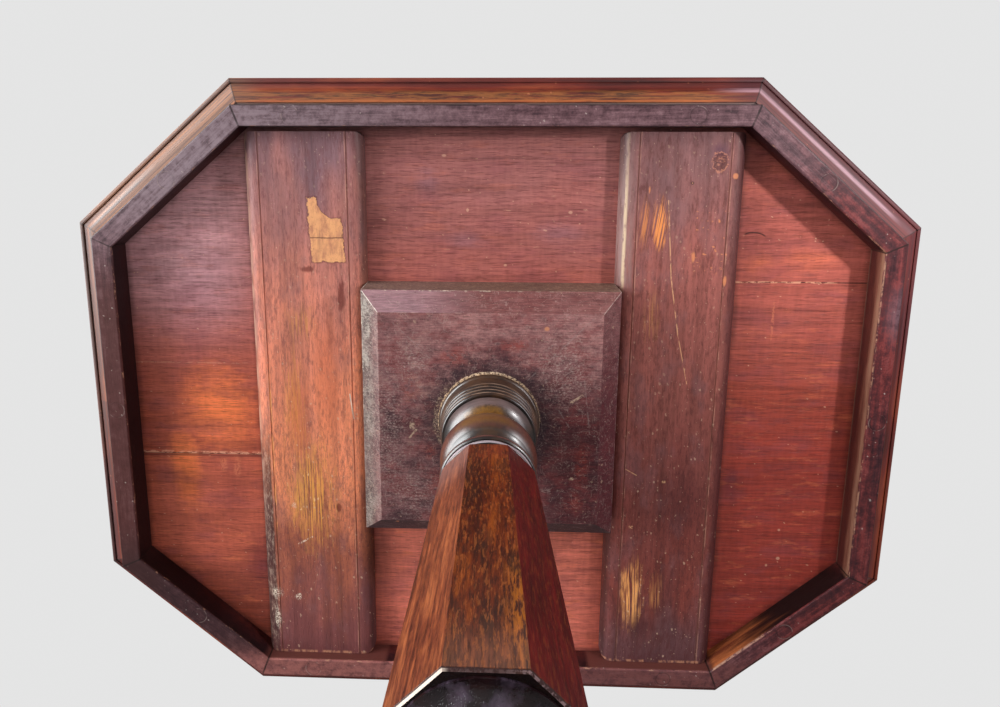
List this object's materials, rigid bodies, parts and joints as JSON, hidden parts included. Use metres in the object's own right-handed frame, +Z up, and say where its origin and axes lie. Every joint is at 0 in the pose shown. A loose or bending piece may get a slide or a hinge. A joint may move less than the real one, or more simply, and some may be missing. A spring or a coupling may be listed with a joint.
{
  "type": "wine table",
  "caption": "Small pedestal wine table: eight-sided moulded top on battens and a block, turned and faceted column, swept tripod legs on pad feet.",
  "frame": {"origin": "on the floor under the middle of the eight-sided top", "axes": "+Z up, +X to the right across the wider way of the top, -Y towards the front edge of the top"},
  "size_m": [0.504, 0.3986, 0.72],
  "materials": {
    "board_wood": "old polish, satin",
    "moulding_wood": "old polish, glossy",
    "lining_wood": "dusty, matt",
    "pellet_wood": "dusty, matt",
    "screw_iron": "dull iron",
    "batten_wood": "old polish, satin",
    "block_wood": "dusty, matt",
    "collar_wood": "polished, glossy",
    "wedge_wood": "bare",
    "shaft_wood": "polished, satin",
    "pedestal_wood": "polished, glossy",
    "leg_wood": "polished, satin"
  },
  "bodies": {
    "root": {"board_front": "board_wood", "board_middle": "board_wood", "board_back": "board_wood", "moulding_front": "moulding_wood", "moulding_front_right": "moulding_wood", "moulding_right": "moulding_wood", "moulding_back_right": "moulding_wood", "moulding_back": "moulding_wood", "moulding_back_left": "moulding_wood", "moulding_left": "moulding_wood", "moulding_front_left": "moulding_wood", "rail_front": "lining_wood", "rail_front_right": "lining_wood", "rail_right": "lining_wood", "rail_back_right": "lining_wood", "rail_back": "lining_wood", "rail_back_left": "lining_wood", "rail_left": "lining_wood", "rail_front_left": "lining_wood", "pellets": "pellet_wood", "screws": "screw_iron", "batten_left": "batten_wood", "batten_right": "batten_wood", "block": "block_wood", "base_collar": "collar_wood", "neck_collar": "collar_wood", "tenon_wedge": "wedge_wood", "shaft": "shaft_wood", "pedestal": "pedestal_wood", "leg_back": "leg_wood", "leg_left": "leg_wood", "leg_right": "leg_wood"}
  },
  "joints": []
}
